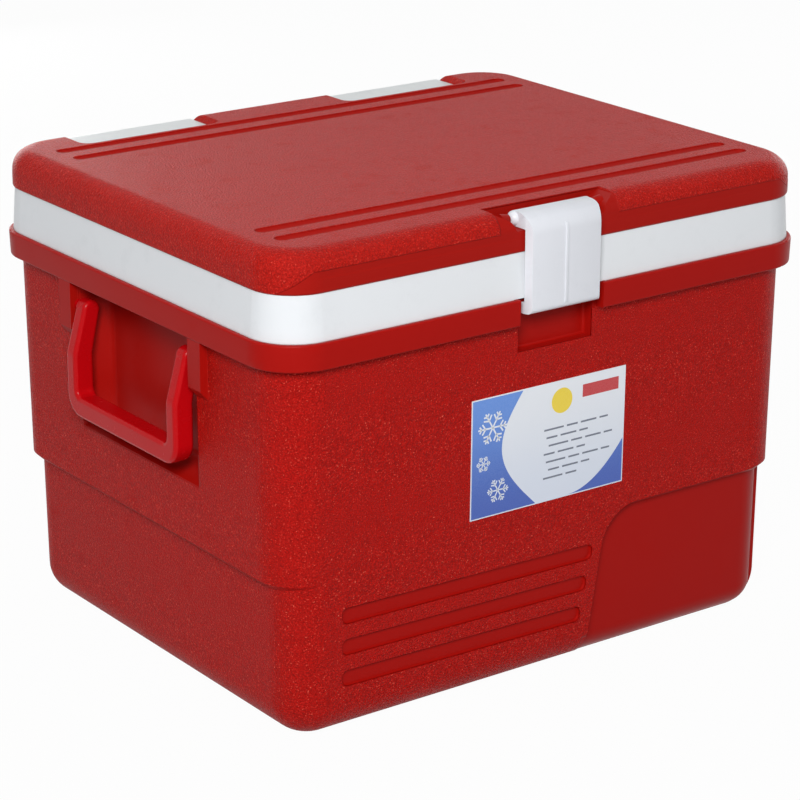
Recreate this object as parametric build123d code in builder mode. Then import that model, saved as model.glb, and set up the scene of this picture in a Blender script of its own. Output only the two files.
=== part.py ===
from build123d import *
import math
import os

# Insulated ice box used as a vaccine carrier. Millimetres, +X to the right of someone
# facing the latch, -Y towards that person, +Z up, origin in the middle of the base.

# Overall outline
rim_length = 430.0
rim_width = 352.4
rim_corner = 35.0
body_height = 265.4
lid_height = 55.3
lid_seat_gap = 0.3

# Skins and fits
shell_skin = 3.0
liner_skin = 2.5
cover_skin = 2.8
pan_skin = 2.5
foam_gap = 0.25
fit = 0.3

# Body walls, given as insets from the rim outline
rim_height = 17.2
rim_draft = 0.6
wall_top_inset = 7.2
wall_draft = 0.67
step_height = 102.5
step_depth = 5.7
step_bevel = 4.0
wall_corner = 30.0
foot_corner = 26.0
base_round = 17.5
flush_base_round = 23.0
base_recess_inset = 46.0
base_recess_depth = 3.0
base_recess_corner = 32.0
edge_round = 1.2

# Recessed panel at the right of the front, bounded by a leaning line and an arc
panel_length = 183.0
panel_lean = 9.0
panel_arc = 30.0
panel_rise = 3.0

# Louvre grooves at the left of the front
groove_count = 3
groove_end_inset = 51.0
groove_overrun = 5.0
groove_top_z = 79.7
groove_pitch = 21.2
groove_height = 11.4
groove_depth = 2.4
groove_corner = 4.5
groove_lean = 4.4
groove_slope = 1.0
groove_draft = 25.0

# Finger recess and pivot pads of the two bail handles
recess_half_width = 72.0
recess_height = 100.7
recess_depth = 19.5
recess_draft = 28.0
recess_round = 7.0
pad_width = 14.3
pad_reach = 5.6
pad_length = 40.5
pad_wedge = 8.5

# Bail handle
bail_side_gap = 4.5
bail_bar = 11.5
bail_bar_height = 13.8
bail_depth = 14.6
bail_stand_off = -0.4
bail_drop = 70.8
bail_elbow_drop = 29.0
bail_neck_depth = 13.0
bail_corner = 15.0
bail_inner_corner = 5.0
bail_bend = 14.0
bail_round = 2.8
pivot_drop = 16.2
pivot_inset = 8.6
pivot_radius = 4.0
pivot_length = 12.0
pivot_clearance = 0.08

# Latch pocket, catch bead and latch
gap_half_width = 33.5
gap_depth = 7.7
pocket_half_width = 30.0
pocket_depth = 15.7
pocket_drop = 19.5
pocket_rise = 7.4
pocket_round = 2.0
catch_drop = 5.0
catch_reach = 1.5
catch_length = 40.0
latch_half_width = 29.3
latch_ear_half_width = 33.0
latch_stand_out = 3.0
latch_plate = 2.6
latch_overlap = 10.1
latch_bend = 13.0
latch_axis_inset = 14.5
latch_axis_drop = 6.4
latch_barrel = 4.9
latch_pin_radius = 1.5
latch_pin_grip = 5.0
latch_rib = 0.7
latch_rib_width = 2.6
latch_ear_round = 7.0
latch_ear_edge = 2.0
latch_edge_round = 1.8
latch_inner_round = 1.0
pin_clearance = 0.05
hook_thickness = 2.4

# Cavity and liner
end_wall = 37.0
side_wall = 27.7
cavity_corner = 26.0
cavity_floor_z = 24.5
cavity_draft = 1.2
cavity_round = 14.0
flange_thickness = 2.5

# Lid: white pan below, red cover above
band_bottom_inset = 3.1
band_top_inset = 5.2
cover_edge_rise = 29.3
cover_inset = 3.8
cover_lip_round = 1.8
tongue_height = 4.0
plug_depth = 14.0
plug_clearance = 3.0
plug_draft = 4.0
plug_round = 6.0
end_round_reach = 11.5
end_round_rise = 17.5
side_round_reach = 13.5
side_round_rise = 12.0
cover_top_corner = 26.0
cover_section_angles = (0, 18, 34, 48, 60, 71, 81, 90)
top_groove_end_gap = 26.5
top_groove_front_insets = (41.7, 63.2)
top_groove_back_insets = (48.7, 70.7)
top_groove_width = 10.5
top_groove_depth = 3.0

# Notch for the latch in the front of the cover
notch_drop = 11.8
notch_floor_half_width = 34.8
notch_neck_half_width = 37.5
notch_mouth_half_width = 49.0
notch_depth = 24.7
notch_floor_round = 2.0
notch_flank_round = 6.0

# Hinges at the back
hinge_end_inset = 55.0
hinge_length = 104.0
hinge_reach = 38.2
hinge_drop = 4.6
hinge_leaf = 2.8
hinge_knuckle = 5.6
hinge_pin_radius = 2.0
hinge_knuckle_count = 5
hinge_knuckle_gap = 0.4
hinge_plate_height = 11.0
hinge_plate = 2.6
hinge_bend = 4.0
hinge_stand_off = 0.6
hinge_seat_corner = 5.0
hinge_seat_draft = 22.0
screw_radius = 1.6
screw_head_radius = 3.2
screw_head = 1.6

# Label on the front
label_width = 125.5
label_height = 80.8
label_x = -2.8
label_drop = 85.2
label_thickness = 0.25

# Levels and planes that follow from the sizes above
rim_bottom_z = body_height - rim_height
lid_bottom_z = body_height + lid_seat_gap
lid_top_z = lid_bottom_z + lid_height
cover_edge_z = lid_bottom_z + cover_edge_rise
wall_slope = math.tan(math.radians(wall_draft))
half_length = rim_length / 2
half_width = rim_width / 2
panel_foot_x = half_length - panel_length
groove_left_x = groove_end_inset - half_length
groove_right_x = panel_foot_x + groove_overrun
recess_bottom_z = rim_bottom_z - recess_height
pivot_x = half_length - pivot_inset
pivot_z = rim_bottom_z - pivot_drop
bail_half_width = recess_half_width - bail_side_gap
bail_bottom_z = pivot_z - bail_drop
bail_elbow_z = pivot_z - bail_elbow_drop
gap_floor_y = half_width - gap_depth
pocket_bottom_z = rim_bottom_z - pocket_drop
pocket_top_z = rim_bottom_z + pocket_rise
catch_height = body_height - catch_drop
latch_front_y = half_width + latch_stand_out
latch_bottom_z = body_height - latch_overlap
latch_axis_y = half_width - latch_axis_inset
latch_axis_z = lid_top_z - latch_axis_drop
cavity_length = rim_length - 2 * end_wall
cavity_width = rim_width - 2 * side_wall
top_groove_half_length = half_length - top_groove_end_gap
top_groove_ys = [inset - half_width for inset in top_groove_front_insets]
top_groove_ys += [half_width - inset for inset in top_groove_back_insets]
notch_floor_z = lid_top_z - notch_drop
notch_back_y = half_width - notch_depth
hinge_inner_x = half_length - hinge_end_inset - hinge_length
hinge_front_y = half_width - hinge_reach
hinge_axis_y = half_width + hinge_knuckle + hinge_stand_off
hinge_axis_z = (body_height + lid_bottom_z) / 2
label_z = rim_bottom_z - label_drop


def wall_inset(height):
    """Inset of the upper wall's plane at a height."""
    return wall_top_inset + (rim_bottom_z - height) * wall_slope


def foot_inset(height):
    """Inset of the set-back lower wall at a height."""
    return wall_inset(height) + step_depth


def rim_inset(height):
    """Inset of the rim's outer face at a height."""
    return rim_draft * (body_height - height) / rim_height


def straight_block(low, high, inset_low, inset_high, corner):
    """Drafted block between two rounded rectangles set in from the rim outline."""
    draft = math.degrees(math.atan2(inset_high - inset_low, high - low))
    with BuildPart() as block:
        with BuildSketch(Plane.XY.offset(low)):
            RectangleRounded(rim_length - 2 * inset_low, rim_width - 2 * inset_low, corner)
        extrude(amount=high - low, taper=draft)
    return block.part


def rim_block(skin, top):
    """Band round the top of the body, with eased edges on the outer form only."""
    low = rim_bottom_z + skin
    with BuildPart() as rim:
        inset = rim_inset(low) + skin
        add(straight_block(low, top, inset, rim_inset(top) + skin, rim_corner - inset))
        if skin == 0:
            fillet(rim.edges().group_by(Axis.Z)[0], edge_round)
            fillet(rim.edges().group_by(Axis.Z)[-1], edge_round)
    return rim.part


def foot_block(skin, flush_front):
    """Lower body moved in by skin, with its front flush with the wall above or set back."""
    side = foot_inset(skin) + skin
    front = wall_inset(skin) + skin if flush_front else side
    with BuildPart() as block:
        with BuildSketch(Plane.XY.offset(skin)) as outline:
            with Locations((0, (front - side) / 2)):
                Rectangle(rim_length - 2 * side, rim_width - side - front)
            fillet(outline.vertices(), foot_corner - skin)
        extrude(amount=step_height + 2 * step_bevel, taper=-wall_draft)
        base_edges = block.faces().sort_by(Axis.Z)[0].edges()
        fillet(base_edges, (flush_base_round if flush_front else base_round) - skin)
    return block.part


def panel_region(skin):
    """Front-view region right of the panel's edge, which leans and then turns level."""
    lean = math.radians(panel_lean)
    top = step_height + panel_rise + skin
    radius = panel_arc + skin
    turn_z = top - radius * (1 - math.sin(lean))
    low = -base_round - skin
    foot_x = panel_foot_x - skin / math.cos(lean)
    turn_x = foot_x + turn_z * math.tan(lean)
    end_x = turn_x + radius * math.cos(lean)
    with BuildPart() as region:
        with BuildSketch(Plane.XZ.offset(half_width - cavity_corner)):
            with BuildLine():
                edge = Line((foot_x + low * math.tan(lean), low), (turn_x, turn_z))
                bend = TangentArc(edge @ 1, (end_x, top), tangent=edge % 1)
                Polyline(bend @ 1, (half_length, top), (half_length, low), edge @ 0)
            make_face()
        extrude(amount=cavity_corner)
    return region.part


def recess_cutter(skin):
    """Finger recess in the right end, with drafted sides and a rounded floor."""
    mouth_x = half_length - wall_inset((recess_bottom_z + rim_bottom_z) / 2)
    depth = recess_depth + skin
    top = rim_bottom_z + skin + depth
    bottom = recess_bottom_z - skin
    with BuildPart() as cutter:
        with BuildSketch(Plane.YZ.offset(mouth_x)):
            with Locations((0, (top + bottom) / 2)):
                Rectangle(2 * (recess_half_width + skin), top - bottom)
        extrude(amount=-depth, taper=recess_draft)
        split(bisect_by=Plane.XY.offset(rim_bottom_z + skin), keep=Keep.BOTTOM)
        fillet(cutter.faces().sort_by(Axis.X)[0].edges(), recess_round + skin)
        extrude(cutter.faces().sort_by(Axis.X)[-1], amount=rim_draft + wall_top_inset - fit)
    return cutter.part


def pivot_cutter(skin):
    """Blind bores in the two pads of the right end, for the handle's pivot studs."""
    with BuildPart() as cutter:
        with BuildSketch(Plane.XZ.offset(-bail_half_width - pivot_length - fit - skin)):
            with Locations((pivot_x, pivot_z)):
                Circle(pivot_radius + pivot_clearance + skin)
        extrude(amount=2 * (bail_half_width + pivot_length + fit + skin))
    return cutter.part


def latch_cutter(skin):
    """Gap in the rim and the finger pocket below it, at the middle of the front."""
    with BuildPart() as cutter:
        depth = pocket_depth + skin
        with BuildSketch(Plane.XZ.offset(half_width - depth)):
            with Locations((0, (pocket_bottom_z + pocket_top_z) / 2)):
                Rectangle(2 * (pocket_half_width + skin), pocket_top_z - pocket_bottom_z + 2 * skin)
        extrude(amount=depth)
        fillet(cutter.faces().sort_by(Axis.Y)[-1].edges(), pocket_round + skin)
        gap_low = rim_bottom_z - edge_round - skin
        with BuildSketch(Plane.XZ.offset(gap_floor_y - skin)):
            with Locations((0, (gap_low + lid_bottom_z) / 2)):
                Rectangle(2 * (gap_half_width + skin), lid_bottom_z - gap_low)
        extrude(amount=gap_depth + skin)
    return cutter.part


def groove_cutter(skin):
    """Louvre grooves, each a little shorter than the one above, with drafted sides."""
    with BuildPart() as cutter:
        for index in range(groove_count):
            height = groove_top_z - index * groove_pitch
            right_x = groove_right_x - index * groove_lean
            length = right_x - groove_left_x
            surface = Plane(
                origin=((right_x + groove_left_x) / 2, wall_inset(height) - half_width, height),
                x_dir=Vector(1, 0, 0).rotate(Axis.Y, groove_slope),
                z_dir=(0, 1, 0),
            )
            with BuildSketch(surface):
                RectangleRounded(length + 2 * skin, groove_height + 2 * skin, groove_corner + skin)
            extrude(amount=groove_depth + skin, taper=groove_draft)
    return cutter.part


def body_form(skin, top):
    """Outer form of the body moved in by skin, cut off at the given top."""
    low = step_height + skin
    wall = straight_block(low, top, wall_inset(low) + skin, wall_inset(top) + skin, wall_corner - skin)
    rim = rim_block(skin, top)
    panel = panel_region(skin)
    set_back_foot = foot_block(skin, False)
    flush_foot = foot_block(skin, True)
    recess = recess_cutter(skin)
    bores = pivot_cutter(skin)
    latch_space = latch_cutter(skin)
    grooves = groove_cutter(skin)
    with BuildPart() as panel_tool:
        add(panel)
        add(set_back_foot, mode=Mode.SUBTRACT)
    with BuildPart() as foot:
        add(flush_foot)
        add(panel_tool.part, mode=Mode.SUBTRACT)
        with BuildSketch(Plane.XY):
            inset = base_recess_inset - skin
            RectangleRounded(rim_length - 2 * inset, rim_width - 2 * inset, base_recess_corner)
        extrude(amount=base_recess_depth + skin, mode=Mode.SUBTRACT)
    with BuildPart() as form:
        add(wall)
        chamfer(form.faces().sort_by(Axis.Z)[0].edges(), step_bevel - skin / 2)
        add(rim)
        add(foot.part)
        for side in (recess, mirror(recess, Plane.YZ)):
            add(side, mode=Mode.SUBTRACT)
        add(latch_space, mode=Mode.SUBTRACT)
        add(grooves, mode=Mode.SUBTRACT)
    return form.part


def cavity_form(grow, top):
    """Storage cavity grown outwards by grow."""
    low = cavity_floor_z - grow
    draw = grow - (body_height - low) * math.tan(math.radians(cavity_draft))
    with BuildPart() as form:
        with BuildSketch(Plane.XY.offset(low)):
            RectangleRounded(cavity_length + 2 * draw, cavity_width + 2 * draw, cavity_corner + draw)
        extrude(amount=top - low, taper=-cavity_draft)
        fillet(form.faces().sort_by(Axis.Z)[0].edges(), cavity_round + grow)
    return form.part


def band_inset(height):
    """Inset of the white band's outer face, which flares downwards."""
    along = (height - lid_bottom_z) / cover_edge_rise
    return band_bottom_inset + (band_top_inset - band_bottom_inset) * along


def pan_form(skin, tongue_top):
    """Outer form of the lid's pan moved in by skin: plug, band and tongue."""
    tongue_inset = cover_inset + cover_skin + fit + skin
    plug_draw = plug_clearance + plug_depth * math.tan(math.radians(plug_draft)) + skin
    with BuildPart() as form:
        with BuildSketch(Plane.XY.offset(lid_bottom_z - plug_depth + skin)):
            RectangleRounded(
                cavity_length - 2 * plug_draw, cavity_width - 2 * plug_draw, cavity_corner - plug_draw
            )
        extrude(amount=plug_depth, taper=-plug_draft)
        fillet(form.faces().sort_by(Axis.Z)[0].edges(), plug_round - skin)
        low = lid_bottom_z + skin
        inset = band_inset(low) + skin
        add(straight_block(low, cover_edge_z, inset, band_top_inset + skin, rim_corner - inset))
        corner = rim_corner - tongue_inset
        add(straight_block(cover_edge_z - skin, tongue_top, tongue_inset, tongue_inset, corner))
    return form.part


def shoulder_inset(height, reach, rise, skin):
    """How far an elliptical shoulder that ends level at the lid's top has drawn in."""
    along = (height - lid_top_z + rise) / (rise - skin)
    return (reach - skin) * (1 - math.sqrt(1 - min(max(along, 0), 1) ** 2))


def cover_form(skin, low):
    """Outer form of the lid's cover moved in by skin, with wider shoulders at its ends."""
    start = lid_top_z - end_round_rise
    inset = cover_inset + skin
    with BuildPart() as form:
        with BuildSketch(Plane.XY.offset(low)):
            RectangleRounded(rim_length - 2 * inset, rim_width - 2 * inset, rim_corner - inset)
        extrude(amount=start - low)
        for angle in cover_section_angles:
            height = start + (end_round_rise - skin) * math.sin(math.radians(angle))
            end = shoulder_inset(height, end_round_reach, end_round_rise, skin)
            side = shoulder_inset(height, side_round_reach, side_round_rise, skin)
            share = end / (end_round_reach - skin)
            corner = (rim_corner - inset) * (1 - share) + cover_top_corner * share
            with BuildSketch(Plane.XY.offset(height)):
                RectangleRounded(rim_length - 2 * (inset + end), rim_width - 2 * (inset + side), corner)
        loft()
    return form.part


def latch_notch(skin):
    """Notch in the front of the cover, with S-shaped flanks, that the latch hangs in."""
    neck_z = (notch_floor_z + lid_top_z) / 2
    above_z = lid_top_z + end_round_rise
    half = ((notch_floor_half_width, notch_floor_z), (notch_neck_half_width, neck_z))
    half += ((notch_mouth_half_width, lid_top_z), (notch_mouth_half_width, above_z))
    points = [(-x, z) for x, z in half] + [(x, z) for x, z in reversed(half)]
    flank = (notch_floor_round, notch_flank_round, notch_flank_round, 0)
    with BuildPart() as cutter:
        with BuildSketch(Plane.XZ.offset(notch_back_y - skin)):
            with BuildLine():
                FilletPolyline(*points, radius=flank + flank[::-1], close=True)
            make_face()
            offset(amount=skin)
        extrude(amount=half_width)
    return cutter.part


def latch_pin_cutter(skin):
    """Bores for the latch's pin in the flanks of the notch."""
    half = notch_neck_half_width + latch_pin_grip + skin
    with BuildPart() as cutter:
        with BuildSketch(Plane.YZ.offset(-half)):
            with Locations((-latch_axis_y, latch_axis_z)):
                Circle(latch_pin_radius + pin_clearance + skin)
        extrude(amount=2 * half)
    return cutter.part


def hinge_notch(skin):
    """Seat for the right hinge leaf in the top of the cover, with sloping flanks."""
    length = hinge_length + 2 * fit + 2 * skin
    depth = half_width - hinge_front_y + skin
    with BuildPart() as cutter:
        with BuildSketch(Plane.XY.offset(lid_top_z - hinge_drop - hinge_leaf - skin)) as seat:
            with Locations((hinge_inner_x + hinge_length / 2, hinge_front_y - skin + depth / 2)):
                Rectangle(length, depth)
            fillet(seat.vertices().group_by(Axis.Y)[0], hinge_seat_corner)
        extrude(amount=hinge_drop + hinge_leaf + skin + fit, taper=-hinge_seat_draft)
    return cutter.part


def top_grooves(skin):
    """Four long round-ended grooves in the top of the cover."""
    radius = (top_groove_width**2 / 4 + top_groove_depth**2) / (2 * top_groove_depth)
    half = top_groove_half_length - top_groove_width / 2
    axis_z = lid_top_z + radius - top_groove_depth
    with BuildPart() as cutter:
        for groove_y in top_groove_ys:
            with BuildSketch(Plane.YZ.offset(-half)):
                with Locations((groove_y, axis_z)):
                    Circle(radius + skin)
            extrude(amount=2 * half)
            with Locations((-half, groove_y, axis_z), (half, groove_y, axis_z)):
                Sphere(radius + skin)
    return cutter.part


def lid_form(skin, low):
    """Cover form moved in by skin, with its notches, grooves and pin bores."""
    cover = cover_form(skin, low)
    notch = latch_notch(skin)
    bores = latch_pin_cutter(skin)
    seat = hinge_notch(skin)
    grooves = top_grooves(skin)
    with BuildPart() as form:
        add(cover)
        if skin == 0:
            fillet(form.faces().sort_by(Axis.Z)[0].edges(), cover_lip_round)
        add(grooves, mode=Mode.SUBTRACT)
        add(notch, mode=Mode.SUBTRACT)
        add(bores, mode=Mode.SUBTRACT)
        for side in (seat, mirror(seat, Plane.YZ)):
            add(side, mode=Mode.SUBTRACT)
    return form.part


def pads(side):
    """Wedge pads under the rim of one end that carry the handle's pivots."""
    root_x = half_length - wall_inset(step_height)
    face_x = half_length - wall_top_inset + pad_reach
    tip_z = rim_bottom_z - pad_length
    with BuildPart() as pair:
        for end in (-1, 1):
            with BuildSketch(Plane.XZ.offset(end * (recess_half_width + fit))):
                with BuildLine():
                    Polyline(
                        (side * root_x, rim_bottom_z + edge_round),
                        (side * face_x, rim_bottom_z + edge_round),
                        (side * face_x, tip_z + pad_wedge),
                        (side * root_x, tip_z),
                        close=True,
                    )
                make_face()
            extrude(amount=end * pad_width)
    return pair.part


def export(piece, name):
    """Label a finished piece and write it under its name."""
    piece.label = name
    export_step(piece, f"parts/{name}.step")


os.makedirs("parts", exist_ok=True)

# ---- Body ----
outer_form = body_form(0, body_height)
core_form = body_form(shell_skin, body_height + foam_gap)
bores = pivot_cutter(0)
bosses = pivot_cutter(shell_skin)
knuckle_pitch = hinge_length / hinge_knuckle_count
hinge_screw_offsets = (knuckle_pitch / 2, hinge_length - knuckle_pitch / 2)
hinge_screw_xs = [side * (hinge_inner_x + offset) for side in (-1, 1) for offset in hinge_screw_offsets]
hinge_plate_low = rim_bottom_z + edge_round
hinge_plate_high = hinge_plate_low + hinge_plate_height
base_screw_z = (hinge_plate_low + hinge_plate_high) / 2

with BuildPart() as shell_core:
    add(core_form)
    for boss in (bosses, mirror(bosses, Plane.YZ)):
        add(boss, mode=Mode.SUBTRACT)

with BuildPart() as body_shell:
    add(outer_form)
    for side in (-1, 1):
        add(pads(side))
    for bore in (bores, mirror(bores, Plane.YZ)):
        add(bore, mode=Mode.SUBTRACT)
    add(shell_core.part, mode=Mode.SUBTRACT)
    with BuildSketch(Plane.YZ.offset(-catch_length / 2)):
        with Locations((-gap_floor_y, catch_height)):
            Circle(catch_reach)
    extrude(amount=catch_length)
    with BuildSketch(Plane.XZ.offset(-half_width)):
        with Locations(*[(x, base_screw_z) for x in hinge_screw_xs]):
            Circle(screw_radius + pin_clearance)
    extrude(amount=shell_skin + rim_draft, mode=Mode.SUBTRACT)
export(body_shell.part, "body_shell")

foam_skin = shell_skin + foam_gap
foam_top = body_height - flange_thickness - foam_gap
foam_form = body_form(foam_skin, foam_top)
foam_bosses = pivot_cutter(foam_skin)
foam_hollow = cavity_form(liner_skin + foam_gap, body_height)
with BuildPart() as body_foam:
    add(foam_form)
    for boss in (foam_bosses, mirror(foam_bosses, Plane.YZ)):
        add(boss, mode=Mode.SUBTRACT)
    add(foam_hollow, mode=Mode.SUBTRACT)
export(body_foam.part, "body_foam")

tub_outside = cavity_form(liner_skin, body_height)
tub_inside = cavity_form(0, body_height + flange_thickness)
flange_relief = latch_cutter(shell_skin + fit)
with BuildPart() as body_liner:
    add(tub_outside)
    with BuildSketch(Plane.XY.offset(body_height - flange_thickness)):
        flange_inset = shell_skin + fit
        RectangleRounded(
            rim_length - 2 * flange_inset, rim_width - 2 * flange_inset, rim_corner - flange_inset
        )
    extrude(amount=flange_thickness)
    add(flange_relief, mode=Mode.SUBTRACT)
    add(tub_inside, mode=Mode.SUBTRACT)
export(body_liner.part, "body_liner")

label_plane = Plane(
    origin=(label_x, wall_inset(label_z) - half_width, label_z),
    x_dir=(1, 0, 0),
    z_dir=(0, -1, -wall_slope),
)
with BuildPart() as front_label:
    with BuildSketch(label_plane):
        Rectangle(label_width, label_height)
    extrude(amount=label_thickness)
export(front_label.part, "front_label")

# ---- Hinges: a leaf on the lid, a bracket on the rim and a pin, left and right ----
leaf_back_y = half_width + fit
leaf_top_z = lid_top_z - hinge_drop
leaf_foot_z = hinge_axis_z + 2 * hinge_knuckle
leaf_screw_z = (leaf_foot_z + cover_edge_z) / 2
leaf_screw_tip_y = half_width - band_inset(leaf_screw_z) - pan_skin + fit
base_screw_tip_y = half_width - shell_skin + fit


def knuckles(first, inner_x):
    """Every second barrel along one hinge, starting from the given one."""
    starts = [inner_x + index * knuckle_pitch for index in range(first, hinge_knuckle_count, 2)]
    with BuildPart() as row:
        for start in starts:
            with BuildSketch(Plane.YZ.offset(start + hinge_knuckle_gap / 2)):
                with Locations((hinge_axis_y, hinge_axis_z)):
                    Circle(hinge_knuckle)
            extrude(amount=knuckle_pitch - hinge_knuckle_gap)
    return row.part, starts


for hinge_side, inner_x in (("left", -hinge_inner_x - hinge_length), ("right", hinge_inner_x)):
    leaf_barrels, leaf_starts = knuckles(0, inner_x)
    with BuildPart() as hinge_leaf_piece:
        with BuildSketch(Plane.YZ.offset(inner_x)):
            with BuildLine():
                FilletPolyline(
                    (hinge_front_y + fit, leaf_top_z),
                    (leaf_back_y, leaf_top_z),
                    (leaf_back_y, leaf_foot_z),
                    (leaf_back_y - hinge_leaf, leaf_foot_z),
                    (leaf_back_y - hinge_leaf, leaf_top_z - hinge_leaf),
                    (hinge_front_y + fit, leaf_top_z - hinge_leaf),
                    radius=(0, hinge_bend, 0, 0, hinge_bend - hinge_leaf, 0),
                    close=True,
                )
            make_face()
        extrude(amount=hinge_length)
        fillet(hinge_leaf_piece.edges().filter_by(Axis.Z).group_by(Axis.Y)[0], hinge_seat_corner - fit)
        for start in leaf_starts:
            with BuildSketch(Plane.YZ.offset(start + hinge_knuckle_gap / 2)):
                with BuildLine():
                    Polyline(
                        (leaf_back_y - hinge_leaf, leaf_foot_z),
                        (leaf_back_y, leaf_foot_z + hinge_leaf),
                        (hinge_axis_y + hinge_knuckle, hinge_axis_z),
                        (hinge_axis_y, hinge_axis_z),
                        (hinge_axis_y - hinge_knuckle, hinge_axis_z + hinge_knuckle / 2),
                        close=True,
                    )
                make_face()
            extrude(amount=knuckle_pitch - hinge_knuckle_gap)
        add(leaf_barrels)
        with BuildSketch(Plane.YZ.offset(inner_x)):
            with Locations((hinge_axis_y, hinge_axis_z)):
                Circle(hinge_pin_radius + pin_clearance)
        extrude(amount=hinge_length, mode=Mode.SUBTRACT)
        with BuildSketch(Plane.XZ.offset(-leaf_back_y)):
            with Locations(*[(x, leaf_screw_z) for x in hinge_screw_xs]):
                Circle(screw_radius + pin_clearance)
        extrude(amount=hinge_leaf, mode=Mode.SUBTRACT)
    export(hinge_leaf_piece.part, f"hinge_leaf_{hinge_side}")

    base_barrels, base_starts = knuckles(1, inner_x)
    face_low_y = half_width - rim_inset(hinge_plate_low)
    face_high_y = half_width - rim_inset(hinge_plate_high)
    with BuildPart() as hinge_base_piece:
        with BuildSketch(Plane.YZ.offset(inner_x + hinge_knuckle_gap)):
            with BuildLine():
                Polyline(
                    (face_low_y, hinge_plate_low),
                    (face_low_y + hinge_plate, hinge_plate_low),
                    (face_low_y + hinge_plate, hinge_plate_high),
                    (face_high_y, hinge_plate_high),
                    close=True,
                )
            make_face()
        extrude(amount=hinge_length - 2 * hinge_knuckle_gap)
        for start in base_starts:
            with BuildSketch(Plane.YZ.offset(start + hinge_knuckle_gap / 2)):
                with BuildLine():
                    Polyline(
                        (face_low_y + hinge_plate / 2, hinge_plate_low),
                        (hinge_axis_y + hinge_knuckle, hinge_axis_z - hinge_knuckle / 4),
                        (hinge_axis_y, hinge_axis_z),
                        (face_high_y + hinge_plate / 2, hinge_plate_high),
                        close=True,
                    )
                make_face()
            extrude(amount=knuckle_pitch - hinge_knuckle_gap)
        add(base_barrels)
        with BuildSketch(Plane.YZ.offset(inner_x)):
            with Locations((hinge_axis_y, hinge_axis_z)):
                Circle(hinge_pin_radius + pin_clearance)
        extrude(amount=hinge_length, mode=Mode.SUBTRACT)
        with BuildSketch(Plane.XZ.offset(-half_width - hinge_plate)):
            with Locations(*[(x, base_screw_z) for x in hinge_screw_xs]):
                Circle(screw_radius + pin_clearance)
        extrude(amount=hinge_plate + rim_draft, mode=Mode.SUBTRACT)
    export(hinge_base_piece.part, f"hinge_base_{hinge_side}")

    with BuildPart() as hinge_pin:
        with BuildSketch(Plane.YZ.offset(inner_x)):
            with Locations((hinge_axis_y, hinge_axis_z)):
                Circle(hinge_pin_radius)
        extrude(amount=hinge_length)
        chamfer(hinge_pin.edges(), hinge_pin_radius / 4)
    export(hinge_pin.part, f"hinge_pin_{hinge_side}")


def screw_row(seat_y, tip_y, height):
    """Pan-head screws that enter from the back."""
    with BuildPart() as screws:
        with BuildSketch(Plane.XZ.offset(-seat_y - screw_head)):
            with Locations(*[(x, height) for x in hinge_screw_xs]):
                Circle(screw_head_radius)
        extrude(amount=screw_head)
        chamfer(screws.edges().group_by(Axis.Y)[-1], screw_head / 2)
        with BuildSketch(Plane.XZ.offset(-seat_y)):
            with Locations(*[(x, height) for x in hinge_screw_xs]):
                Circle(screw_radius)
        extrude(amount=seat_y - tip_y)
    return screws.part


export(screw_row(leaf_back_y, leaf_screw_tip_y, leaf_screw_z), "hinge_leaf_screws")
plate_back_y = half_width - rim_inset(hinge_plate_low) + hinge_plate
export(screw_row(plate_back_y, base_screw_tip_y, base_screw_z), "hinge_base_screws")

# ---- Lid ----
tongue_top_z = cover_edge_z + tongue_height
pan_outside = pan_form(0, tongue_top_z)
pan_inside = pan_form(pan_skin, tongue_top_z + pan_skin)
with BuildPart() as lid_pan:
    add(pan_outside)
    add(pan_inside, mode=Mode.SUBTRACT)
    with BuildSketch(Plane.XZ.offset(-half_width)):
        with Locations(*[(x, leaf_screw_z) for x in hinge_screw_xs]):
            Circle(screw_radius + pin_clearance)
    extrude(amount=half_width - leaf_screw_tip_y, mode=Mode.SUBTRACT)
export(lid_pan.part, "lid_pan")

cover_outside = lid_form(0, cover_edge_z)
cover_inside = lid_form(cover_skin, cover_edge_z - foam_gap)
with BuildPart() as lid_cover:
    add(cover_outside)
    add(cover_inside, mode=Mode.SUBTRACT)
export(lid_cover.part, "lid_cover")

foam_crown = lid_form(cover_skin + foam_gap, cover_edge_z)
pan_fill = pan_form(pan_skin + foam_gap, tongue_top_z + foam_gap)
with BuildPart() as lid_foam:
    add(foam_crown)
    split(bisect_by=Plane.XY.offset(tongue_top_z + foam_gap), keep=Keep.TOP)
    add(pan_fill)
export(lid_foam.part, "lid_foam")

# ---- Latch ----
latch_back_y = latch_axis_y - latch_barrel
latch_top_z = latch_axis_z + latch_barrel
band_face_y = half_width - band_bottom_inset + fit
lug_back_y = gap_floor_y + 2 * fit
lug_top_z = body_height - 2 * catch_reach


def latch_profile(grow):
    """Side view of the latch's plate, from its back edge over the bend to its bottom edge."""
    outer = latch_bend + grow
    inner = latch_bend - latch_plate
    with BuildLine() as line:
        FilletPolyline(
            (-latch_back_y, latch_top_z + grow),
            (-latch_front_y - grow, latch_top_z + grow),
            (-latch_front_y - grow, latch_bottom_z),
            (-latch_front_y + latch_plate, latch_bottom_z),
            (-latch_front_y + latch_plate, latch_top_z - latch_plate),
            (-latch_back_y, latch_top_z - latch_plate),
            radius=(0, outer, 0, 0, inner, 0),
            close=True,
        )
    return line.line


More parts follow.
